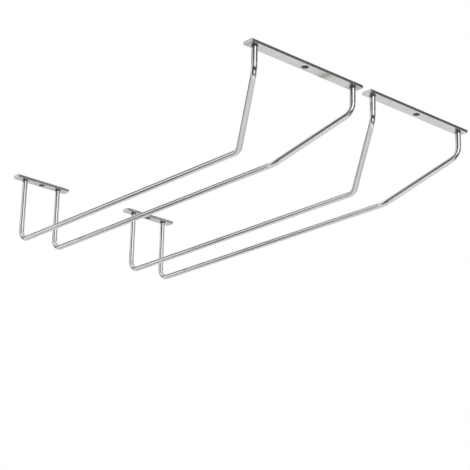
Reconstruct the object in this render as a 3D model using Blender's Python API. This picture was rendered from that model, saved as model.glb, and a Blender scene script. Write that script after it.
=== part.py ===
"""A pair of under-shelf rails that hang stemmed glasses by their feet.

Each rail is four pieces: a long front plate, a short rear plate and two bent
round wires.  The wires start wide apart at the front plate, close in on each
other as they run back and down, and then run side by side as a slot for the
stems.  Both ends of each wire turn up to a plate.

The origin lies on the mounting plane, which is the top of all four plates,
midway between the four screw holes.  X runs along the plates, Y from the
front plates to the rear plates, and Z up.  All sizes are in metres.
"""

import math

import bmesh
import bpy
from mathutils import Matrix, Vector

# The set
RAIL_NAMES = ("left_rail", "right_rail")
RAIL_GAP = 0.008             # free space between the two front plates
SCREW_SPACING = 0.327        # from a rail's front screw hole to its rear one

# The wires
WIRE_DIAMETER = 0.0045
MOUTH_SPACING = 0.0968       # between the two wire axes at the front plate
SLOT_SPACING = 0.034         # between the two wire axes along the slot
MOUTH_DEPTH = 0.0222         # mounting plane to the corner of the front bend
SLOT_DEPTH = 0.05775         # mounting plane to the wire axes along the slot
RAMP_LENGTH = 0.050          # front plate to the corner where the slot begins
FRONT_BEND_RADIUS = 0.012    # all bend radii are to the wire's axis
SLOT_BEND_RADIUS = 0.012
REAR_BEND_RADIUS = 0.010
WELD_FLARE = 0.0004          # how far the weld spreads beyond the wire
WELD_LIP = 0.0002            # height over which the weld spreads
WELD_HEIGHT = 0.0009         # height over which it tapers back to the wire

# The plates
FRONT_END_MARGIN = 0.0066    # wire axis to the end of the front plate
REAR_END_MARGIN = 0.0095     # wire axis to the end of the rear plate
SOCKET_DEPTH = 0.0012        # how deep a wire end sits in its plate
SOCKET_SKIN = 0.0018         # metal left above a wire end
SCREW_HOLE_DIAMETER = 0.0038
COUNTERSINK_DIAMETER = 0.0056
EDGE_RADIUS = 0.0010         # rounding of the rolled strip's edges
FRONT_FLAT_RIM = 0.0008      # flat metal between the widest cut and the edge
REAR_FLAT_RIM = 0.0001

# Fits and fineness
CLEARANCE = 0.0003           # gap between a wire and the plate that holds it
OVERRUN = 0.0010             # how far a cutter runs past the face it cuts
EDGE_LIMIT_SHARE = 0.4       # most of the thickness that one rounding takes
BEND_STEP = math.radians(9)
WIRE_RINGS = 8               # bevel resolution of a wire, 20 sides round
EDGE_SEGMENTS = 3
HOLE_SIDES = 32

# Sizes that follow from the ones above
WIRE_RADIUS = WIRE_DIAMETER / 2
PLATE_THICKNESS = SOCKET_SKIN + SOCKET_DEPTH
SOCKET_DIAMETER = WIRE_DIAMETER + 2 * CLEARANCE
WIDEST_CUT = max(SOCKET_DIAMETER, COUNTERSINK_DIAMETER)
EDGE_ROUNDING = min(EDGE_RADIUS, PLATE_THICKNESS * EDGE_LIMIT_SHARE)
FRONT_PLATE_LENGTH = MOUTH_SPACING + 2 * FRONT_END_MARGIN
FRONT_PLATE_WIDTH = WIDEST_CUT + 2 * (EDGE_ROUNDING + FRONT_FLAT_RIM)
REAR_PLATE_LENGTH = SLOT_SPACING + 2 * REAR_END_MARGIN
REAR_PLATE_WIDTH = WIDEST_CUT + 2 * (EDGE_ROUNDING + REAR_FLAT_RIM)
RAIL_PITCH = FRONT_PLATE_LENGTH + RAIL_GAP
FRONT_Y = -SCREW_SPACING / 2
REAR_Y = SCREW_SPACING / 2
PLATE_UNDERSIDE = -PLATE_THICKNESS
WIRE_TOP = PLATE_UNDERSIDE + SOCKET_DEPTH - CLEARANCE
WELD_TOP = PLATE_UNDERSIDE - CLEARANCE

CHROME_COLOUR = (0.78, 0.785, 0.79, 1.0)
PLATE_ROUGHNESS = 0.16
WIRE_ROUGHNESS = 0.08


def clear_scene():
    """Remove whatever the file opens with."""
    for item in list(bpy.data.objects):
        bpy.data.objects.remove(item, do_unlink=True)


def chrome(name, roughness):
    """Bright plated steel."""
    material = bpy.data.materials.new(name)
    material.use_nodes = True
    shader = material.node_tree.nodes["Principled BSDF"]
    shader.inputs["Base Color"].default_value = CHROME_COLOUR
    shader.inputs["Metallic"].default_value = 1.0
    shader.inputs["Roughness"].default_value = roughness
    return material


def add_object(name, data, parent, location=(0, 0, 0)):
    """Link a new object to the scene under its rail."""
    item = bpy.data.objects.new(name, data)
    bpy.context.scene.collection.objects.link(item)
    item.parent = parent
    item.location = location
    return item


def turned_mesh(name, profile):
    """A closed solid turned round Z from (radius, height) points, low to high."""
    shape = bmesh.new()
    rings = []
    for radius, height in profile:
        angles = [2 * math.pi * step / HOLE_SIDES for step in range(HOLE_SIDES)]
        places = [(radius * math.cos(a), radius * math.sin(a), height) for a in angles]
        rings.append([shape.verts.new(place) for place in places])
    for lower, upper in zip(rings, rings[1:]):
        for step in range(HOLE_SIDES):
            after = (step + 1) % HOLE_SIDES
            shape.faces.new((lower[step], lower[after], upper[after], upper[step]))
    shape.faces.new(list(reversed(rings[0])))
    shape.faces.new(rings[-1])
    mesh = bpy.data.meshes.new(name)
    shape.to_mesh(mesh)
    shape.free()
    return mesh


def screw_hole_mesh():
    """A through hole with a right-angled countersink in the plate's underside."""
    hole = SCREW_HOLE_DIAMETER / 2
    sink = COUNTERSINK_DIAMETER / 2
    sink_height = sink - hole
    return turned_mesh("screw_hole_cutter", [
        (sink + OVERRUN, PLATE_UNDERSIDE - OVERRUN),
        (hole, PLATE_UNDERSIDE + sink_height),
        (hole, OVERRUN),
    ])


def socket_mesh():
    """A blind hole that a wire end sits in."""
    return turned_mesh("wire_socket_cutter", [
        (SOCKET_DIAMETER / 2, PLATE_UNDERSIDE - OVERRUN),
        (SOCKET_DIAMETER / 2, PLATE_UNDERSIDE + SOCKET_DEPTH),
    ])


def cut(plate, mesh, x):
    """Cut one hole into a plate, x along it from its middle."""
    cutter = add_object(plate.name + "_" + mesh.name, mesh, plate, (x, 0, 0))
    cutter.hide_render = True
    cutter.display_type = "WIRE"
    boolean = plate.modifiers.new(cutter.name, "BOOLEAN")
    boolean.operation = "DIFFERENCE"
    boolean.solver = "EXACT"
    boolean.object = cutter


def add_plate(name, rail, y, length, width, wire_spacing, material):
    """A strip of rounded flat steel with a screw hole and two wire sockets."""
    shape = bmesh.new()
    bmesh.ops.create_cube(shape, size=1)
    size = Vector((length, width, PLATE_THICKNESS))
    bmesh.ops.scale(shape, vec=size, verts=shape.verts)
    bmesh.ops.translate(shape, vec=(0, 0, PLATE_UNDERSIDE / 2), verts=shape.verts)
    mesh = bpy.data.meshes.new(name)
    shape.to_mesh(mesh)
    shape.free()
    mesh.materials.append(material)
    plate = add_object(name, mesh, rail, (0, y, 0))
    rounding = plate.modifiers.new("rolled_edges", "BEVEL")
    rounding.width = EDGE_ROUNDING
    rounding.segments = EDGE_SEGMENTS
    rounding.limit_method = "ANGLE"
    cut(plate, screw_hole_mesh(), 0)
    cut(plate, socket_mesh(), -wire_spacing / 2)
    cut(plate, socket_mesh(), wire_spacing / 2)
    return plate


def bend(before, corner, after, radius):
    """The points of a round bend in place of a sharp corner."""
    into = (corner - before).normalized()
    out = (after - corner).normalized()
    turn = into.angle(out)
    centre = corner + (out - into).normalized() * (radius / math.cos(turn / 2))
    arm = corner - into * (radius * math.tan(turn / 2)) - centre
    axis = into.cross(out).normalized()
    steps = math.ceil(turn / BEND_STEP)
    turns = [Matrix.Rotation(turn * step / steps, 3, axis) for step in range(steps + 1)]
    return [centre + rotation @ arm for rotation in turns]


def wire_end(x, y):
    """The upright end of a wire as (point, radius), from its tip to below its weld."""
    weld_radius = WIRE_RADIUS + WELD_FLARE
    return [
        (Vector((x, y, WIRE_TOP)), WIRE_RADIUS),
        (Vector((x, y, WELD_TOP)), WIRE_RADIUS),
        (Vector((x, y, WELD_TOP - WELD_LIP)), weld_radius),
        (Vector((x, y, WELD_TOP - WELD_HEIGHT)), WIRE_RADIUS),
    ]


def wire_route(side):
    """The wire's axis from the front plate to the rear plate; side is -1 or 1."""
    mouth_x = side * MOUTH_SPACING / 2
    slot_x = side * SLOT_SPACING / 2
    corners = [
        Vector((mouth_x, FRONT_Y, WIRE_TOP)),
        Vector((mouth_x, FRONT_Y, -MOUTH_DEPTH)),
        Vector((slot_x, FRONT_Y + RAMP_LENGTH, -SLOT_DEPTH)),
        Vector((slot_x, REAR_Y, -SLOT_DEPTH)),
        Vector((slot_x, REAR_Y, WIRE_TOP)),
    ]
    radii = (FRONT_BEND_RADIUS, SLOT_BEND_RADIUS, REAR_BEND_RADIUS)
    route = wire_end(mouth_x, FRONT_Y)
    for index, radius in enumerate(radii, start=1):
        points = bend(corners[index - 1], corners[index], corners[index + 1], radius)
        route += [(point, WIRE_RADIUS) for point in points]
    return route + list(reversed(wire_end(slot_x, REAR_Y)))


def add_wire(name, rail, side, material):
    """One bent round wire."""
    curve = bpy.data.curves.new(name, "CURVE")
    curve.dimensions = "3D"
    curve.bevel_depth = WIRE_RADIUS
    curve.bevel_resolution = WIRE_RINGS
    curve.use_fill_caps = True
    route = wire_route(side)
    spline = curve.splines.new("POLY")
    spline.points.add(len(route) - 1)
    for point, (place, radius) in zip(spline.points, route):
        point.co = (*place, 1)
        point.radius = radius / WIRE_RADIUS
    curve.materials.append(material)
    return add_object(name, curve, rail)


def add_rail(name, x):
    """One rail: two plates and two wires, all placed from the rail's own empty."""
    rail = add_object(name, None, None, (x, 0, 0))
    add_plate(name + "_front_plate", rail, FRONT_Y, FRONT_PLATE_LENGTH, FRONT_PLATE_WIDTH,
              MOUTH_SPACING, chrome(name + "_front_plate", PLATE_ROUGHNESS))
    add_plate(name + "_rear_plate", rail, REAR_Y, REAR_PLATE_LENGTH, REAR_PLATE_WIDTH,
              SLOT_SPACING, chrome(name + "_rear_plate", PLATE_ROUGHNESS))
    for side, side_name in ((-1, "_left_wire"), (1, "_right_wire")):
        wire_name = name + side_name
        add_wire(wire_name, rail, side, chrome(wire_name, WIRE_ROUGHNESS))


clear_scene()
for number, rail_name in enumerate(RAIL_NAMES):
    add_rail(rail_name, (number - (len(RAIL_NAMES) - 1) / 2) * RAIL_PITCH)
bpy.context.view_layer.update()
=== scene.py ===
# %% [markdown]
# # A chromed rack that is screwed up under a shelf
# The real rack is two separate rails of bright chromed steel.  Each rail is a long front strip,
# a short rear strip and two bent round wires, which are welded together and then plated as one.
# A screw through each strip holds the rail up.  Whatever hangs in a rail rests its foot on the
# two wires and has its stem in the slot between them.
#
# The measured solids already have the right sizes, so they could be shown as they are.  But
# mirror-bright metal shows every facet, and a reflection is only as smooth as the surface that
# makes it.  So each piece is built again here as a fine, smooth mesh that fits the space of its
# solid, and most of the care goes into the plating, the welds and what the metal reflects.

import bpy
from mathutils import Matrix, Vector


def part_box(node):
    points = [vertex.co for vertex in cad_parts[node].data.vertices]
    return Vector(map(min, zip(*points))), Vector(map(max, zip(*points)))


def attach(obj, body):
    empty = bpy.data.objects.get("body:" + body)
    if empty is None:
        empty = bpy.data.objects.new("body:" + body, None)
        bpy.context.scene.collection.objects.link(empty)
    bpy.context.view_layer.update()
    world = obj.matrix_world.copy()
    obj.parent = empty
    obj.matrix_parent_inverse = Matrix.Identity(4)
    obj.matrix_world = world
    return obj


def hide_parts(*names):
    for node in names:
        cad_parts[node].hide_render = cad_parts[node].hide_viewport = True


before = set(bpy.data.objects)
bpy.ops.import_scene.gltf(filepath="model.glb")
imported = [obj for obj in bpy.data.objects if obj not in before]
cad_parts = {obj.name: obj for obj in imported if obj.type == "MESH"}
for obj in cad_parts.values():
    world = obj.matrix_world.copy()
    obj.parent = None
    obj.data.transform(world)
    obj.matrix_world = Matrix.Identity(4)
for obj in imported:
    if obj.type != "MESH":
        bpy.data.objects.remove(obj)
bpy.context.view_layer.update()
print("solids:", ", ".join(sorted(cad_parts)))

# %% [markdown]
# ## Tools and units
# Blender's mesh tools could be used by hand, as modifiers and menus, but a script can say exactly
# where each point of a bent wire lies.  The module bmesh builds meshes out of points and faces,
# mathutils has the vectors and rotations for that, and numpy hands long lists to Blender.
# Blender counts in metres and a wire is a few millimetres thick, so sizes are written in
# millimetres and one value turns them into metres.

# %% Modules and units
import math

import bmesh
import bpy
import numpy as np
from mathutils import Matrix, Vector

MM = 0.001
QUARTER_TURN = math.radians(90)
scene = bpy.context.scene
print("one unit is a metre, and MM is", MM)

# %% [markdown]
# ## Where the picture is taken from
# The rack is seen from below and from the front left, as it looks when it hangs above a worktop.
# A camera could be placed by eye until the view looks right.  This one was worked out from the
# corners, holes and bends of both rails at once, where the front strips counted most.  Its focal
# length was found in pixels, which turns into a lens in millimetres once the sensor's width is
# known.

# %% Camera
PICTURE_SIDE = 470
FOCAL_PIXELS = 1456.1
SENSOR_SIDE = 36.0
CAMERA_PLACE = Vector((-711.6, -835.3, -455.2)) * MM
CAMERA_HEADING = math.radians(-41.29)
CAMERA_TILT = math.radians(19.17)
CAMERA_ROLL = math.radians(1.25)

camera_data = bpy.data.cameras.new("picture_camera")
camera_data.sensor_width = SENSOR_SIDE
camera_data.lens = FOCAL_PIXELS / PICTURE_SIDE * SENSOR_SIDE
camera = bpy.data.objects.new("picture_camera", camera_data)
scene.collection.objects.link(camera)
camera.matrix_world = (
    Matrix.Translation(CAMERA_PLACE)
    @ Matrix.Rotation(CAMERA_HEADING, 4, "Z")
    @ Matrix.Rotation(QUARTER_TURN + CAMERA_TILT, 4, "X")
    @ Matrix.Rotation(CAMERA_ROLL, 4, "Z")
)
bpy.context.scene.camera = camera
print("lens in millimetres:", round(camera_data.lens, 2))

# %% [markdown]
# ## Short words for shader nodes
# A material made of nodes takes many lines if each node is made, set and linked by hand.  These
# helpers make a node, set its inputs and link them in one call.  An input that is given a socket
# is linked to it, and one that is given a value is set to that value.  The last helper reads
# what a mesh remembers about each of its points.

# %% Material helpers
def new_material(name):
    """A material with its node tree and its main shader."""
    material = bpy.data.materials.new(name)
    material.use_nodes = True
    tree = material.node_tree
    return material, tree, tree.nodes["Principled BSDF"]


def feed(tree, node, inputs):
    """Link or set the inputs of a node, which are named or numbered."""
    for name, value in inputs.items():
        if isinstance(value, bpy.types.NodeSocket):
            tree.links.new(value, node.inputs[name])
        else:
            node.inputs[name].default_value = value


def add_node(tree, kind, inputs, **settings):
    """A new node with its settings made and its inputs linked or set."""
    node = tree.nodes.new("ShaderNode" + kind)
    for name, value in settings.items():
        setattr(node, name, value)
    feed(tree, node, inputs)
    return node


def remembered(tree, name, output="Vector"):
    """What the mesh remembers under that name, as a Vector or, with Fac, as a number."""
    return add_node(tree, "Attribute", {}, attribute_name=name).outputs[output]


helpers = (new_material, feed, add_node, remembered)
print("helpers:", ", ".join(helper.__name__ for helper in helpers))

# %% [markdown]
# ## A white room with a pale floor
# The rack is shown against plain white, far from any wall.  Walls and lamps could be built, but a
# white world gives the same background and is the softest light there is, because it comes from
# everywhere.  Blender's Standard view shows that white as white, while its default one would
# turn it grey.  The floor lies well below the rack, where a real floor would be, and it is a
# little darker than the room.  That is what the undersides of the strips reflect.

# %% Room and floor
ROOM_COLOUR = (1.0, 1.0, 1.0, 1.0)
ROOM_LIGHT = 1.0
FLOOR_DROP = 1.5
FLOOR_RADIUS = 12.0
FLOOR_SIDES = 96
FLOOR_COLOUR = (0.93, 0.925, 0.92, 1.0)
FLOOR_ROUGHNESS = 0.7

scene.view_settings.view_transform = "Standard"
world = bpy.data.worlds.new("white_room")
scene.world = world
world.use_nodes = True
room = world.node_tree.nodes["Background"]
room.inputs["Color"].default_value = ROOM_COLOUR
room.inputs["Strength"].default_value = ROOM_LIGHT

floor_mesh = bpy.data.meshes.new("floor")
disc = bmesh.new()
bmesh.ops.create_circle(disc, cap_ends=True, radius=FLOOR_RADIUS, segments=FLOOR_SIDES)
disc.to_mesh(floor_mesh)
disc.free()
floor = bpy.data.objects.new("floor", floor_mesh)
floor.location.z = -FLOOR_DROP
scene.collection.objects.link(floor)
floor_paint, floor_tree, floor_shader = new_material("pale_floor")
feed(floor_tree, floor_shader, {"Base Color": FLOOR_COLOUR, "Roughness": FLOOR_ROUGHNESS})
floor_mesh.materials.append(floor_paint)
print("floor", FLOOR_DROP, "m below the rack and", 2 * FLOOR_RADIUS, "m across")

# %% [markdown]
# ## Black cards
# Chrome has hardly any colour of its own: it shows the room.  In an all-white room a chromed wire
# would be a plain light stripe.  Studios therefore stand black cards around bright metal, and
# each card becomes one of the fine dark lines that run along a wire.  The lines could be painted
# on in the wire's material, but they would stay put when the camera moves, which no reflection
# does.  So the cards here are real planes.  The camera doesn't see them and they cast no shadow,
# but the metal mirrors them.
#
# A card is placed by its compass direction, counted from +Y towards +X, and by its height above
# the level of the rack, both in degrees.  Its width and height are in degrees too, so it fills
# the same part of a reflection at any distance.  Its tone runs from 0 for none of the light to 1
# for all of it.  What counts as black here still gives a little back, as black card does, and a
# grey card makes a paler line.
#
# Most cards above the rack stand far off, so that both rails reflect them alike.  Those below it
# have to stand nearer than the floor.  Two stand close on the left.  From the rear of the rack
# they are seen further round to the front, so the rear wires carry their dark line nearer the
# middle.  A pale one low on the right gives each sloping wire the faint line near its lower
# edge, and a narrow one deep in front closes the dark ring round the bright oval in the bends.
# The two lowest at the back stand corner to corner.  The slot wires mirror both as one dark
# line, and the left slopes mirror the gap beside them, which keeps their own dark edge thin.

# %% Placing things around the rack
FAR = 9.0
NEAR = 1.6
CLOSE = 0.9


def stand_around(thing, compass, height, distance):
    """Stand a thing out from the rack, with its back to the room and its face to the rack."""
    turn, rise = math.radians(compass), math.radians(height)
    level = math.cos(rise)
    away = Vector((math.sin(turn) * level, math.cos(turn) * level, math.sin(rise)))
    thing.location = away * distance
    thing.rotation_euler = away.to_track_quat("Z", "Y").to_euler()
    scene.collection.objects.link(thing)


def span(degrees, distance):
    """The size of something that fills that many degrees at that distance."""
    return 2 * distance * math.tan(math.radians(degrees) / 2)


widths = [round(span(10, distance), 2) for distance in (FAR, NEAR, CLOSE)]
print("ten degrees at each distance, in metres:", widths)

# %% Black cards
BLACK = 0.12

# Each row is compass, height, distance, width, tall and tone.
CARDS = {
    "high_left_card": (-102, 44, FAR, 38, 20, 0.35),
    "left_card": (-114, 27, CLOSE, 48, 12, BLACK),
    "grey_left_card": (-114, 11, CLOSE, 48, 20, 0.3),
    "low_left_card": (-109, -20, NEAR, 56, 44, BLACK),
    "right_card": (142.5, 33.7, FAR, 52, 25, 0.16),
    "grey_right_card": (145, 18.5, FAR, 46, 5.5, 0.5),
    "level_right_card": (145, 8, FAR, 48, 16, BLACK),
    "low_right_card": (147, -18, NEAR, 38, 44, BLACK),
    "low_front_card": (-165, -15, NEAR, 84, 18, BLACK),
    "deep_front_card": (-163, -46.5, NEAR, 44, 9.5, BLACK),
    "upper_back_card": (-26, 32, FAR, 27, 18, BLACK),
    "level_back_card": (-16, 3, NEAR, 24, 26, BLACK),
    "lower_back_card": (-45, -22, NEAR, 18, 14, BLACK),
    "deep_back_card": (-26, -36.5, NEAR, 20, 12, BLACK),
    "grey_back_card": (31, -19, NEAR, 14, 9, 0.7),
    "pale_side_card": (91, -37, NEAR, 26, 32, 0.6),
}

for card_name, (compass, height, distance, width, tall, tone) in CARDS.items():
    card_paint, card_tree, card_shader = new_material(card_name + "_paint")
    matt = {"Base Color": (tone, tone, tone, 1.0), "Roughness": 1.0, "Specular IOR Level": 0.0}
    feed(card_tree, card_shader, matt)
    card_mesh = bpy.data.meshes.new(card_name)
    plane = bmesh.new()
    # A grid's size is half its side, so this one is a metre square until it is scaled.
    bmesh.ops.create_grid(plane, x_segments=1, y_segments=1, size=0.5)
    size = (span(width, distance), span(tall, distance), 1)
    bmesh.ops.scale(plane, vec=size, verts=plane.verts)
    plane.to_mesh(card_mesh)
    plane.free()
    card_mesh.materials.append(card_paint)
    card = bpy.data.objects.new(card_name, card_mesh)
    stand_around(card, compass, height, distance)
    card.visible_camera = False
    card.visible_diffuse = False
    card.visible_shadow = False
    print(card_name, "is", round(size[0], 2), "by", round(size[1], 2), "m")

# %% [markdown]
# ## Soft lamps
# The white stripe down each upright wire is a big softbox, and the bright oval inside each front
# bend is a smaller lamp low down in front.  A third one brightens the floor where the wires
# mirror it.  Of the two at the back, one makes the light line between the two dark ones along the
# slot, and the other the bright curl in each rear bend.  Small strong lamps would make hard white
# dots on chrome, so these are as big as the stripes that they have to fill.
#
# The strength of each is given as a glow, which is what its face adds to the white room behind
# it, where the room itself counts as 1.  A flat lamp spreads its light over half of all
# directions, so its power is that glow times pi times its area.

# %% Soft lamps
# Each row is compass, height, distance, width, tall and glow.
LAMPS = {
    "front_softbox": (-163, 21, FAR, 38, 49, 0.75),
    "low_spot": (-164, -33, NEAR, 40, 18, 0.5),
    "floor_bounce": (165, -58, NEAR, 50, 24, 0.46),
    "back_softbox": (-46, 3, FAR, 20, 12, 0.35),
    "high_back_softbox": (-53, 44, FAR, 16, 24, 0.6),
}

for lamp_name, (compass, height, distance, width, tall, glow) in LAMPS.items():
    lamp_data = bpy.data.lights.new(lamp_name, "AREA")
    lamp_data.shape = "RECTANGLE"
    lamp_data.size = span(width, distance)
    lamp_data.size_y = span(tall, distance)
    lamp_data.energy = glow * math.pi * lamp_data.size * lamp_data.size_y
    lamp = bpy.data.objects.new(lamp_name, lamp_data)
    stand_around(lamp, compass, height, distance)
    lamp.visible_camera = False
    print(lamp_name, "gives", round(lamp_data.energy, 2), "W")

# %% [markdown]
# ## Bright chrome over drawn and rolled steel
# Chrome plate is a very thin, hard grey mirror over a layer of nickel.  It follows what lies
# under it: the fine lines that drawing leaves along a wire and rolling leaves along a strip, and
# a slow ripple from polishing.  A picture wrapped round the piece could show that, but it
# would stretch at the bends.  Here every point of a piece carries a second place with it, called
# stock: where it lay on the straight wire or flat strip before the piece was bent.  Noise that
# reads that place runs round every bend, as the real lines do.
#
# Plating is thrown poorly into corners and holes, so beside a weld there is only dull, dark
# nickel, and inside a screw hole the steel is nearly bare.  That darkening is also painted shade,
# standing in for the shade in those corners and holes.  A value from 0 to 1, for thinness and
# painted shade, says how far it goes: up to a half the chrome gives way to nickel, and from there
# on the nickel to steel.

# %% Colours and sizes of the plating
CHROME = (0.62, 0.61, 0.60, 1.0)
HAZY_CHROME = (0.58, 0.57, 0.56, 1.0)
# Nickel and bare steel darken welds and holes: partly thin plating, partly painted shade.
SHADED_NICKEL = (0.26, 0.25, 0.24, 1.0)
SHADED_BARE_STEEL = (0.07, 0.07, 0.07, 1.0)
NICKEL_SHARE = 0.5
THIN_ROUGHNESS = 0.3
HAZE_SIZE = 9 * MM
HAZE_DETAIL = 4.0
HAZE_FROM, HAZE_TO = 0.35, 0.7
BEST_POLISH_SHARE, WORST_POLISH_SHARE = 0.7, 1.4
RIPPLE_SIZE = 7 * MM
GRAIN_LENGTH = 14 * MM
GRAIN_WIDTH = 0.16 * MM
print("chrome reflects", CHROME[:3], "of red, green and blue")


# %% Chrome finish
def noise(tree, place, size, detail=2.0):
    """Cloudy noise from 0 to 1 whose clouds are about that size."""
    node = add_node(tree, "TexNoise", {"Vector": place, "Scale": 1 / size, "Detail": detail})
    return node.outputs["Fac"]


def remap(tree, value, low, high, to_low, to_high):
    """Move a value from one range to another and hold it there, with soft ends."""
    ranges = {"From Min": low, "From Max": high, "To Min": to_low, "To Max": to_high}
    inputs = {"Value": value, **ranges}
    return add_node(tree, "MapRange", inputs, interpolation_type="SMOOTHSTEP").outputs["Result"]


# A Mix node has sockets of the same names for each kind of value, so they go by number.
def mix_colour(tree, share, first, second):
    """A colour between two others."""
    node = add_node(tree, "Mix", {0: share, 6: first, 7: second}, data_type="RGBA")
    return node.outputs[2]


def chrome_finish(tree, shader, thin_and_shade, roughness, ripple, grain):
    """Bright plating, darkened by thin plating and painted shade.  Ripple and grain are heights
    in metres.
    """
    stock = remembered(tree, "stock")
    haze = remap(tree, noise(tree, stock, HAZE_SIZE, HAZE_DETAIL), HAZE_FROM, HAZE_TO, 0.0, 1.0)
    plated = mix_colour(tree, haze, CHROME, HAZY_CHROME)
    worn_and_shade = remap(tree, thin_and_shade, 0.0, NICKEL_SHARE, 0.0, 1.0)
    bare_and_shade = remap(tree, thin_and_shade, NICKEL_SHARE, 1.0, 0.0, 1.0)
    nickel_and_shade = mix_colour(tree, worn_and_shade, plated, SHADED_NICKEL)
    colour = mix_colour(tree, bare_and_shade, nickel_and_shade, SHADED_BARE_STEEL)
    best, worst = roughness * BEST_POLISH_SHARE, roughness * WORST_POLISH_SHARE
    polish = remap(tree, haze, 0.0, 1.0, best, worst)
    dullness = add_node(tree, "Mix", {0: worn_and_shade, 2: polish, 3: THIN_ROUGHNESS}).outputs[0]
    stretch = (GRAIN_WIDTH / GRAIN_LENGTH, 1.0, 1.0)
    drawn = add_node(tree, "Mapping", {"Vector": stock, "Scale": stretch}).outputs["Vector"]
    waves = {"Height": noise(tree, stock, RIPPLE_SIZE), "Distance": ripple}
    rippled = add_node(tree, "Bump", waves).outputs["Normal"]
    lines = {"Height": noise(tree, drawn, GRAIN_WIDTH), "Distance": grain, "Normal": rippled}
    grained = add_node(tree, "Bump", lines).outputs["Normal"]
    plating = {"Base Color": colour, "Roughness": dullness, "Normal": grained, "Metallic": 1.0}
    feed(tree, shader, plating)


print("drawn lines are", round(GRAIN_LENGTH / GRAIN_WIDTH), "times as long as they are wide")

# %% [markdown]
# ## A profile with rounded corners
# Rolled strip has no sharp edges, and a drilled and countersunk hole is deburred before it is
# plated.  On bright metal these small roundings matter, because each one catches a thin line of
# light.  A bevel modifier could round them, but then the facing of the surface, which a
# reflection follows, is only guessed from the faces.  This helper rounds the corners of a flat
# profile, and also gives the exact direction that the metal faces at each point.

# %% Rounded profiles
ARC_STEP = math.radians(9)


def soften(places, radii):
    """Round the corners of a profile that turns left, as (place, facing) pairs."""
    softened = []
    for before, corner, after, radius in zip(places, places[1:], places[2:], radii):
        into = (corner - before).normalized()
        out = (after - corner).normalized()
        turn = math.atan2(into.x * out.y - into.y * out.x, into.dot(out))
        facing = Vector((into.y, -into.x))
        centre = corner - into * radius * math.tan(turn / 2) - facing * radius
        steps = max(1, math.ceil(turn / ARC_STEP))
        for step in range(steps + 1):
            now = Matrix.Rotation(turn * step / steps, 2) @ facing
            softened.append((centre + now * radius, now))
    return softened


quarter = soften([Vector((0, 0)), Vector((1, 0)), Vector((1, 1))], [0.5])
print("a quarter turn has", len(quarter), "points")

# %% [markdown]
# ## The strips
# Each strip is a piece of rolled flat steel, cropped to length, with one hole that is drilled and
# countersunk from below.  Its upper edges are rolled rounder than its lower ones.  A box with a
# Boolean hole would do for the shape.  This mesh is made of rings instead: rings round the
# outline for the rolled edges, rings round the hole for its countersink and bore, and two flat
# faces that join them.  It is closed and has no seam, and its flat faces stay perfectly flat.

# %% Sizes of the strips
LOWER_EDGE_RADIUS = 0.2 * MM
UPPER_EDGE_RADIUS = 1.3 * MM
CORNER_RADIUS = 0.5 * MM
HOLE_RADIUS = 1.9 * MM
SINK_RADIUS = 2.8 * MM
DEBURRING = 0.12 * MM
HOLE_SIDES = 64
CORNER_STEPS = 6

front_low, front_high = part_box("left_rail_front_plate")
STRIP_THICKNESS = front_high.z - front_low.z
print("strip thickness in mm:", round(STRIP_THICKNESS / MM, 2))


# %% Arms and profiles of a strip
def outline_arms(length, width):
    """(centre, direction) of every point of a strip's outline, all the way round."""
    arms = []
    for number, (along, across) in enumerate(((1, 1), (-1, 1), (-1, -1), (1, -1))):
        x = along * (length / 2 - CORNER_RADIUS)
        y = across * (width / 2 - CORNER_RADIUS)
        for step in range(CORNER_STEPS + 1):
            angle = QUARTER_TURN * (number + step / CORNER_STEPS)
            arms.append((Vector((x, y)), Vector((math.cos(angle), math.sin(angle)))))
    return arms


def all_round(sides):
    """As many angles as there are sides, evenly spaced over a full turn."""
    return [2 * math.pi * step / sides for step in range(sides)]


def hole_arms():
    """(centre, direction) of every point round the screw hole."""
    directions = [Vector((math.cos(angle), math.sin(angle))) for angle in all_round(HOLE_SIDES)]
    return [(Vector((0, 0)), direction) for direction in directions]


def edge_profile():
    """From the underside round the outer edge to the top, as distances from an arm's centre."""
    bottom, reach = -STRIP_THICKNESS, CORNER_RADIUS
    corners = ((0, bottom), (reach, bottom), (reach, 0), (0, 0))
    return soften([Vector(corner) for corner in corners], [LOWER_EDGE_RADIUS, UPPER_EDGE_RADIUS])


def hole_profile():
    """From the top down the bore and out along the countersink to the underside."""
    bottom = -STRIP_THICKNESS
    neck = bottom + SINK_RADIUS - HOLE_RADIUS
    # Both ends lie out on the flat faces, only to say which way these run.
    wide = 2 * SINK_RADIUS
    bore = ((HOLE_RADIUS, 0), (HOLE_RADIUS, neck), (SINK_RADIUS, bottom))
    corners = ((wide, 0), *bore, (wide, bottom))
    return soften([Vector(corner) for corner in corners], [DEBURRING] * len(bore))


print("edge points:", len(edge_profile()), "hole points:", len(hole_profile()))

# %% [markdown]
# ## From rings to a mesh
# An arm stands at each point of an outline, and a profile says how far out along the arm and how
# high the metal is.  The same two lists could be spun or screwed round an axis by a modifier, but
# an oblong strip has no single axis, so the quads are made here by hand, ring by ring.  Where the
# rolled edge is wider than the rounded corner, a point can't move far enough back along its arm,
# and goes in along the corner's mitre instead.

# %% Rings and flat faces
SHARPEST_RADIUS = 0.02 * MM


def shifted(ring):
    """The same ring, begun one point later, which pairs each point with the next."""
    return ring[1:] + ring[:1]


def add_quads(shape, lower, upper):
    """A band of quads between two rings."""
    for corners in zip(lower, shifted(lower), shifted(upper), upper):
        shape.faces.new(corners)


def add_rings(shape, arms, profile):
    """Vertices for each point of the profile on each arm, with quads between the rings."""
    rings, facings = [], []
    for place, facing in profile:
        ring = []
        reach = max(place.x, SHARPEST_RADIUS)
        for centre, direction in arms:
            mitre = Vector((math.copysign(1, centre.x), math.copysign(1, centre.y)))
            level = centre + direction * reach + mitre * (place.x - reach)
            ring.append(shape.verts.new((level.x, level.y, place.y)))
            facings.append((direction.x * facing.x, direction.y * facing.x, facing.y))
        rings.append(ring)
    for lower, upper in zip(rings, rings[1:]):
        add_quads(shape, lower, upper)
    return rings, facings


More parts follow.
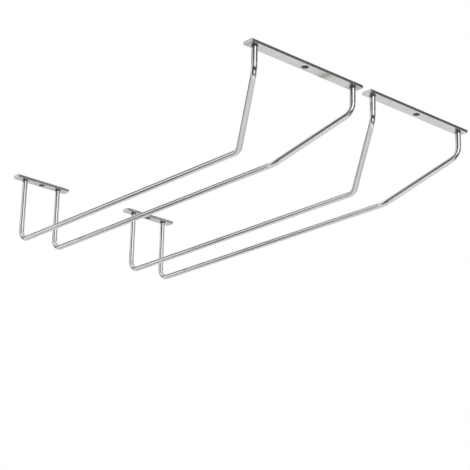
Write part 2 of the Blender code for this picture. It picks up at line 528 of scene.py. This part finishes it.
def join_flat(shape, outer, inner):
    """A flat face between an outline and a hole."""
    pairs = [pair for ring in (outer, inner) for pair in zip(ring, shifted(ring))]
    edges = [shape.edges.get(pair) for pair in pairs]
    bmesh.ops.triangle_fill(shape, use_beauty=True, edges=edges)


trial = bmesh.new()
add_rings(trial, hole_arms(), hole_profile())
print("a screw hole has", len(trial.faces), "quads")
trial.free()

# %% [markdown]
# ## What a mesh remembers
# Smooth shading normally averages the facings of the faces round a point.  Next to a flat face
# that tilts the reflection, so a mesh can be given its exact facings instead.  It can also carry
# values of its own for materials to read, such as the stock place.  Each piece has its stock
# moved by its own number of steps, so that no two pieces show the same lines.

# %% Finishing a mesh
STOCK_STEP = 50 * MM


def finish_mesh(shape, name, facings=None):
    """Turn a closed shape into a smooth mesh, with exact facings where they are known."""
    bmesh.ops.recalc_face_normals(shape, faces=shape.faces)
    for face in shape.faces:
        face.smooth = True
    mesh = bpy.data.meshes.new(name)
    shape.to_mesh(mesh)
    shape.free()
    if facings:
        mesh.normals_split_custom_set_from_vertices(facings)
    return mesh


def set_attribute(mesh, name, kind, values):
    """Give each vertex a number or a vector that materials can read."""
    attribute = mesh.attributes.new(name, kind, "POINT")
    field = "vector" if kind == "FLOAT_VECTOR" else "value"
    attribute.data.foreach_set(field, np.array(values, np.float32).ravel())


print("the stock of each piece lies", round(STOCK_STEP / MM), "mm from that of the last")

# %% [markdown]
# ## One strip
# The last thing a strip needs is to know where its plating is thin.  In the bore it hardly takes
# at all, and on the slope of the countersink it is thin near the bore and better further out.
# The darkness this gives the hole is partly thin plating and partly painted shade.  The flat
# faces have none of that, so they get 0, right up to the edge of the hole.

# %% Building a strip
SINK_BARE_AND_SHADE_SHARE = 0.5


def bare_and_shade_share(place):
    """How bare the steel is, with the hole's painted shade: 1 in the bore, less out to the mouth
    of the countersink, then 0.
    """
    reach = place.xy.length
    if reach >= SINK_RADIUS or place.z > -DEBURRING / 2:
        return 0.0
    way_out = max(reach - HOLE_RADIUS, 0) / (SINK_RADIUS - HOLE_RADIUS)
    return 1 - way_out * (1 - SINK_BARE_AND_SHADE_SHARE)


def strip_mesh(name, length, width, number):
    """A closed mesh of one strip, with its origin at the middle of its top."""
    shape = bmesh.new()
    outer, outer_facings = add_rings(shape, outline_arms(length, width), edge_profile())
    inner, inner_facings = add_rings(shape, hole_arms(), hole_profile())
    join_flat(shape, outer[-1], inner[0])
    join_flat(shape, outer[0], inner[-1])
    places = [vertex.co.copy() for vertex in shape.verts]
    mesh = finish_mesh(shape, name, outer_facings + inner_facings)
    stock = [(place.x, place.y, place.z + number * STOCK_STEP) for place in places]
    set_attribute(mesh, "stock", "FLOAT_VECTOR", stock)
    set_attribute(mesh, "bare_and_shade", "FLOAT", [bare_and_shade_share(place) for place in places])
    return mesh


halfway = Vector(((HOLE_RADIUS + SINK_RADIUS) / 2, 0, -STRIP_THICKNESS))
print("bare share halfway down the countersink:", round(bare_and_shade_share(halfway), 2))

# %% [markdown]
# ## The strips' finish
# The strips are flat and bright, a touch more satin than the wires, and their undersides look an
# even light grey.  Beside each weld the underside is made a little darker, partly for thinner
# plating and partly as painted shade, which the wire mirrors just below the weld.  That ring
# could be painted on as vertex colours, but the flat faces have no vertices there, so the
# material works out the distance to the nearer weld from the stock place.  Both welds of a strip
# lie equally far from its middle.  Only the underside gets the ring, because nothing is welded to
# the top.

# %% Strip material
WELD_REACH = {"front": 48.4 * MM, "rear": 17 * MM}
STRIP_ROUGHNESS = 0.09
STRIP_RIPPLE = 0.010 * MM
STRIP_GRAIN = 0.0010 * MM
HALO_INNER, HALO_OUTER = 2.4 * MM, 2.9 * MM
HALO_THIN_AND_SHADE_SHARE = 0.15
UNDERSIDE_FACING = -0.9


def to_nearest_weld(tree, weld_x):
    """Distance across the strip to the nearer of its two welds."""
    parts = add_node(tree, "SeparateXYZ", {"Vector": remembered(tree, "stock")}).outputs
    side = add_node(tree, "Math", {0: parts["X"]}, operation="ABSOLUTE").outputs[0]
    along = add_node(tree, "Math", {0: side, 1: weld_x}, operation="SUBTRACT").outputs[0]
    flat = add_node(tree, "CombineXYZ", {"X": along, "Y": parts["Y"]}).outputs[0]
    return add_node(tree, "VectorMath", {0: flat}, operation="LENGTH").outputs["Value"]


def strip_material(name, weld_x):
    """Satin-bright chrome, darkened at the welds and in the screw hole by thin plating and
    painted shade.
    """
    material, tree, shader = new_material(name)
    # A ring round each weld on the underside, darkened partly for thinner plating, partly as
    # painted shade.
    halo_thin_and_shade = remap(tree, to_nearest_weld(tree, weld_x), HALO_INNER, HALO_OUTER, HALO_THIN_AND_SHADE_SHARE, 0.0)
    facing = add_node(tree, "NewGeometry", {}).outputs["Normal"]
    upwards = add_node(tree, "SeparateXYZ", {"Vector": facing}).outputs["Z"]
    under = remap(tree, upwards, UNDERSIDE_FACING, 0.0, 1.0, 0.0)
    weld_halo_thin_and_shade = add_node(tree, "Math", {0: halo_thin_and_shade, 1: under}, operation="MULTIPLY").outputs[0]
    # The hole's darkness is partly thin plating and partly painted shade.
    bare_and_shade = remembered(tree, "bare_and_shade", "Fac")
    thin_and_shade = add_node(tree, "Math", {0: weld_halo_thin_and_shade, 1: bare_and_shade}, operation="MAXIMUM").outputs[0]
    chrome_finish(tree, shader, thin_and_shade, STRIP_ROUGHNESS, STRIP_RIPPLE, STRIP_GRAIN)
    return material


STRIP_FINISHES = {
    end: strip_material(end + "_strip_chrome", weld_x) for end, weld_x in WELD_REACH.items()
}
print("strip finishes:", [finish.name for finish in STRIP_FINISHES.values()])

# %% [markdown]
# ## The bent wires
# A wire comes off a straight length of drawn rod and is bent three times: out of the front strip
# and into the ramp, out of the ramp into the long slot, and up to the rear strip.  A curve object
# with a round bevel makes such a tube in one step, but it gives no say in how the section changes
# at a bend, or in where each point came from.  So the route is worked out first, as a list of
# stations with their headings, and the tube is built on it afterwards.

# %% Sizes of the wires
WIRE_RADIUS = 2.25 * MM
MOUTH_DEPTH = 22.2 * MM
RAMP_LENGTH = 50 * MM
FRONT_BEND = 12 * MM
SLOT_BEND = 12 * MM
REAR_BEND = 10 * MM
BITE = 0.4 * MM
BEND_STEP = math.radians(2.5)
STATION_GAP = 12 * MM

rear_low, rear_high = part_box("left_rail_rear_plate")
FRONT_Y = (front_low.y + front_high.y) / 2
REAR_Y = (rear_low.y + rear_high.y) / 2
wire_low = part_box("left_rail_left_wire")[0]
SLOT_DEPTH = -wire_low.z - WIRE_RADIUS
print("from screw to screw in mm:", round((REAR_Y - FRONT_Y) / MM, 2))
print("slot below the shelf in mm:", round(SLOT_DEPTH / MM, 2))


# %% Route of a wire
def straight_run(start, end):
    """Stations on a straight stretch, as (place, heading, bend share, bend axis)."""
    heading = (end - start).normalized()
    count = max(1, math.ceil((end - start).length / STATION_GAP))
    places = [start.lerp(end, step / count) for step in range(count + 1)]
    return [(place, heading, 0.0, None) for place in places]


def bent_run(before, corner, after, radius):
    """Stations round a bend that stands in place of a sharp corner."""
    into = (corner - before).normalized()
    out = (after - corner).normalized()
    turn = into.angle(out)
    axis = into.cross(out).normalized()
    centre = corner + (out - into).normalized() * (radius / math.cos(turn / 2))
    arm = corner - into * (radius * math.tan(turn / 2)) - centre
    steps = math.ceil(turn / BEND_STEP)
    stations = []
    for step in range(steps + 1):
        rotation = Matrix.Rotation(turn * step / steps, 3, axis)
        share = math.sin(math.pi * step / steps) ** 2
        stations.append((centre + rotation @ arm, rotation @ into, share, axis))
    return stations


def wire_route(middle_x, side):
    """All stations of a wire from its front weld to its rear weld; side is -1 or 1."""
    mouth_x = middle_x + side * WELD_REACH["front"]
    slot_x = middle_x + side * WELD_REACH["rear"]
    top = -STRIP_THICKNESS + BITE
    corners = [
        Vector((mouth_x, FRONT_Y, top)),
        Vector((mouth_x, FRONT_Y, -MOUTH_DEPTH)),
        Vector((slot_x, FRONT_Y + RAMP_LENGTH, -SLOT_DEPTH)),
        Vector((slot_x, REAR_Y, -SLOT_DEPTH)),
        Vector((slot_x, REAR_Y, top)),
    ]
    turns = zip(corners, corners[1:], corners[2:], (FRONT_BEND, SLOT_BEND, REAR_BEND))
    route, reached = [], corners[0]
    for before, corner, after, radius in turns:
        bend = bent_run(before, corner, after, radius)
        bend_start, bend_end = bend[0][0], bend[-1][0]
        route += straight_run(reached, bend_start)[:-1] + bend[:-1]
        reached = bend_end
    return route + straight_run(reached, corners[-1])


sample = wire_route(0.0, 1)
steps_between = [(there[0] - here[0]).length for here, there in zip(sample, sample[1:])]
print(len(sample), "stations, wire length in mm:", round(sum(steps_between) / MM, 1))

# %% [markdown]
# ## Rings along the wire
# A ring of points is placed at each station and turned as little as possible from the one before,
# so the drawn lines don't wind round the wire.  A bent rod flattens slightly across its bend and
# spreads sideways, and the rings do the same.  The exact facings matter most at the ends: shading
# averaged with the flat end caps would bend the reflections away just below each weld, where the
# real wire has its darkest arch.

# %% Building a wire
WIRE_SIDES = 48
FLATTENING_SHARE = 0.035
SPREADING_SHARE = 0.015


def squeeze(offset, share, axis):
    """Flatten a point of a ring across the bend, and give its new offset and its facing."""
    sideways = axis * offset.dot(axis)
    in_plane = offset - sideways
    flatter, wider = 1 - FLATTENING_SHARE * share, 1 + SPREADING_SHARE * share
    return in_plane * flatter + sideways * wider, in_plane / flatter + sideways / wider


def wire_mesh(name, middle_x, side, number):
    """A closed tube along the route, which remembers the straight rod that it came from."""
    shape = bmesh.new()
    route = wire_route(middle_x, side)
    across = Vector((1, 0, 0))
    travelled, rings, facings, stock = 0.0, [], [], []
    for index, (place, heading, share, axis) in enumerate(route):
        if index:
            last_place, last_heading = route[index - 1][:2]
            travelled += (place - last_place).length
            across = last_heading.rotation_difference(heading) @ across
        up = heading.cross(across)
        ring = []
        for angle in all_round(WIRE_SIDES):
            y, z = WIRE_RADIUS * math.cos(angle), WIRE_RADIUS * math.sin(angle)
            offset = facing = across * y + up * z
            if share:
                offset, facing = squeeze(offset, share, axis)
            ring.append(shape.verts.new(place + offset))
            facings.append(facing.normalized())
            stock.append((travelled, y, z + number * STOCK_STEP))
        rings.append(ring)
    for lower, upper in zip(rings, rings[1:]):
        add_quads(shape, lower, upper)
    shape.faces.new(rings[0])
    shape.faces.new(rings[-1])
    mesh = finish_mesh(shape, name, facings)
    to_weld = [min(along, travelled - along) - BITE for along, y, z in stock]
    set_attribute(mesh, "stock", "FLOAT_VECTOR", stock)
    set_attribute(mesh, "to_weld", "FLOAT", to_weld)
    return mesh


tightest = REAR_BEND - WIRE_RADIUS
print("inside radius of the rear bend in mm:", round(tightest / MM, 2))

# %% [markdown]
# ## The wires' finish
# The wires are the brightest part of the rack, polished along their length.  For a millimetre or
# so from each weld they are darkened, partly for thin plating and partly as painted shade under
# the strip.  That could be a second material on the last rings, but it would end in a hard line.
# The mesh remembers how far each ring is from its weld, so one material fades softly from that
# dark band to full chrome.

# %% Wire material
WIRE_ROUGHNESS = 0.05
WIRE_RIPPLE = 0.008 * MM
WIRE_GRAIN = 0.0006 * MM
DARK_UNTIL, BRIGHT_FROM = 0.7 * MM, 1.6 * MM
WIRE_END_THIN_AND_SHADE_SHARE = 0.7

wire_chrome, wire_tree, wire_shader = new_material("bright_chromed_wire")
from_weld = remembered(wire_tree, "to_weld", "Fac")
# Darker near each weld: partly thin plating, partly painted shade under the strip.
wire_end_thin_and_shade = remap(wire_tree, from_weld, DARK_UNTIL, BRIGHT_FROM, WIRE_END_THIN_AND_SHADE_SHARE, 0.0)
chrome_finish(wire_tree, wire_shader, wire_end_thin_and_shade, WIRE_ROUGHNESS, WIRE_RIPPLE, WIRE_GRAIN)
print("wire finish:", wire_chrome.name, "with", len(wire_tree.nodes), "nodes")

# %% [markdown]
# ## The welds
# Each wire end is butted against its strip and welded all round, which leaves a small bead of
# metal that flows out from the wire onto the strip.  A torus would be too round and too regular.
# This bead is a hollow-sided ring, turned round the wire, whose width and height waver with two
# slow waves that differ from weld to weld.

# %% Weld beads
BEAD_WIDTH = 0.38 * MM
BEAD_HEIGHT = 0.5 * MM
BEAD_OVERLAP = 0.25 * MM
BEAD_SIDES = 72
BEAD_STEPS = 8
BEAD_WAVER_SHARE = 0.10
# Each wave is how often it goes round, how far it shifts from weld to weld, and its height.
BEAD_WAVES = ((2, 1.7, 1.0), (5, 0.9, 0.6))


def bead_profile():
    """The hollow side of a bead, as shares of its width and height, from the strip down."""
    steps = [step / BEAD_STEPS for step in range(BEAD_STEPS + 1)]
    angles = [QUARTER_TURN * step for step in steps]
    return [(1 - math.sin(angle), 1 - math.cos(angle)) for angle in angles]


def bead_section(swell):
    """(radius, height) of each point of a bead's section, where it is that much swollen."""
    root = -STRIP_THICKNESS
    wide, high = BEAD_WIDTH * swell, BEAD_HEIGHT * swell
    inside, hidden = WIRE_RADIUS - BEAD_OVERLAP, root + BEAD_OVERLAP
    side = [(WIRE_RADIUS + wide * out, root - high * down) for out, down in bead_profile()]
    return [(inside, hidden), (WIRE_RADIUS + wide, hidden), *side, (inside, root - high)]


def bead_swell(angle, number):
    """How much larger than usual that bead is at that angle, where 1 is the usual size."""
    waves = [size * math.sin(often * angle + shift * number) for often, shift, size in BEAD_WAVES]
    return 1 + BEAD_WAVER_SHARE * sum(waves)


def bead_mesh(name, x, y, number):
    """A closed lumpy ring round a wire end, against the underside of a strip."""
    shape = bmesh.new()
    rings, stock = [], []
    for angle in all_round(BEAD_SIDES):
        ring = []
        for radius, z in bead_section(bead_swell(angle, number)):
            side, front = radius * math.cos(angle), radius * math.sin(angle)
            ring.append(shape.verts.new((x + side, y + front, z)))
            stock.append((side, front, z + number * STOCK_STEP))
        rings.append(ring)
    for ring, after in zip(rings, shifted(rings)):
        add_quads(shape, ring, after)
    mesh = finish_mesh(shape, name)
    set_attribute(mesh, "stock", "FLOAT_VECTOR", stock)
    return mesh


print("points in a bead's section:", len(bead_section(1.0)))

# %% [markdown]
# ## The welds' finish
# A bead lies in a corner, where it takes the least chrome of all, and a weld is rough, so it
# looks dark and dull.  Its darkness is also painted shade, standing in for the shade in the
# corner between wire and strip.  Plain black would do from afar.  Here the same finish is used
# as for the rest, but thin all over, in small patches of nickel and nearly bare steel.

# %% Weld material
WELD_ROUGHNESS = 0.3
WELD_RIPPLE = 0.03 * MM
WELD_GRAIN = 0.002 * MM
WELD_PATCH = 0.9 * MM
PATCH_FROM, PATCH_TO = 0.3, 0.7
WELD_THIN_AND_SHADE_SHARES = (0.7, 1.0)

# The bead's dark patches are partly thin plating and partly painted shade in the corner.
weld_metal_and_shade, weld_tree, weld_shader = new_material("thinly_plated_weld_and_painted_shade")
weld_patches = noise(weld_tree, remembered(weld_tree, "stock"), WELD_PATCH)
bead_thin_and_shade = remap(weld_tree, weld_patches, PATCH_FROM, PATCH_TO, *WELD_THIN_AND_SHADE_SHARES)
chrome_finish(weld_tree, weld_shader, bead_thin_and_shade, WELD_ROUGHNESS, WELD_RIPPLE, WELD_GRAIN)
print("weld finish:", weld_metal_and_shade.name, "with", len(weld_tree.nodes), "nodes")

# %% [markdown]
# ## Putting the rails together
# Both rails are the same, so one could be made and then copied.  They are made one after the
# other instead, because each piece then gets its own lines and each weld its own lumps.  Every
# piece is made for its place, rides on the one body of the rack, and stands for its solid.  A
# bead belongs to the wire that it was welded from, so it stands for nothing of its own.

# %% Build both rails
SIDES = {"left": -1, "right": 1}
piece_count = 0


def add_piece(name, mesh, material, solid=None, place=(0, 0, 0)):
    """Link a finished piece, let it ride on the rack and hide the solid that it stands for."""
    mesh.materials.append(material)
    piece = bpy.data.objects.new(name, mesh)
    piece.location = place
    scene.collection.objects.link(piece)
    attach(piece, "root")
    if solid:
        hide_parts(solid)


for rail in ("left_rail", "right_rail"):
    for end, finish in STRIP_FINISHES.items():
        solid = rail + "_" + end + "_plate"
        low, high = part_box(solid)
        middle = (low + high) / 2
        strip_name = rail + "_" + end + "_strip"
        strip = strip_mesh(strip_name, high.x - low.x, high.y - low.y, piece_count)
        place = (middle.x, middle.y, high.z)
        add_piece(strip_name, strip, finish, solid, place)
        piece_count += 1
        for side_name, side in SIDES.items():
            bead_name = "_".join((rail, end, side_name, "weld"))
            bead = bead_mesh(bead_name, middle.x + side * WELD_REACH[end], middle.y, piece_count)
            add_piece(bead_name, bead, weld_metal_and_shade)
            piece_count += 1
    for side_name, side in SIDES.items():
        rod_name = rail + "_" + side_name + "_rod"
        rod = wire_mesh(rod_name, middle.x, side, piece_count)
        add_piece(rod_name, rod, wire_chrome, rail + "_" + side_name + "_wire")
        piece_count += 1
    print(rail, "is finished, with", piece_count, "pieces so far")
